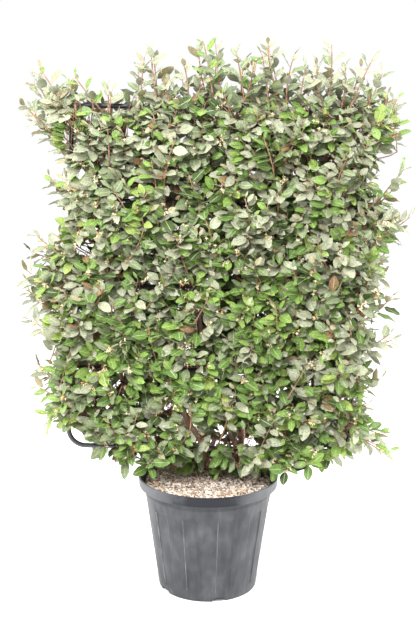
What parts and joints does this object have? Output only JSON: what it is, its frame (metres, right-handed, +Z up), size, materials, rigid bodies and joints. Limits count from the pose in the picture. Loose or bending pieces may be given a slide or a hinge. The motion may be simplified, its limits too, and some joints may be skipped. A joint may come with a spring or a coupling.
{
  "type": "potted ebbinges silverberry hedge panel",
  "caption": "Evergreen silverberry shrub trained flat as a leafy hedge panel on a rounded tube frame, rooted in a fluted nursery pot of potting mix.",
  "frame": {"origin": "centre of the pot's flat underside", "axes": "+Z up, the panel's broad side faces -Y, +X to the right seen from the front"},
  "size_m": [1.193, 0.4544, 1.761],
  "materials": {
    "pot": "moulded dark grey plastic, faint sheen",
    "soil": "loose granular bark mix, dull",
    "frame": "dark grey satin paint on round tube",
    "bark": "scaly reddish brown bark",
    "leaves": "leathery leaves, silvery beneath"
  },
  "bodies": {
    "root": {"pot": "pot", "soil": "soil", "stem_left": "bark", "stem_right": "bark", "bough_far_left": "bark", "bough_far_right": "bark", "bough_middle": "bark", "bough_stub": "bark", "frame_upright_left": "frame", "frame_upright_right": "frame", "frame_bar_bottom": "frame", "frame_bar_top": "frame", "frame_corner_top_left": "frame", "frame_corner_top_right": "frame", "frame_corner_bottom_left": "frame", "frame_corner_bottom_right": "frame", "frame_rod_1": "frame", "frame_rod_2": "frame", "frame_rod_3": "frame", "frame_leg_left": "frame", "frame_leg_right": "frame", "foliage_low_far_left": "leaves", "foliage_low_left": "leaves", "foliage_low_centre": "leaves", "foliage_low_right": "leaves", "foliage_low_far_right": "leaves", "foliage_lower_far_left": "leaves", "foliage_lower_left": "leaves", "foliage_lower_centre": "leaves", "foliage_lower_right": "leaves", "foliage_lower_far_right": "leaves", "foliage_upper_far_left": "leaves", "foliage_upper_left": "leaves", "foliage_upper_centre": "leaves", "foliage_upper_right": "leaves", "foliage_upper_far_right": "leaves", "foliage_top_far_left": "leaves", "foliage_top_left": "leaves", "foliage_top_centre": "leaves", "foliage_top_right": "leaves", "foliage_top_far_right": "leaves"}
  },
  "joints": []
}
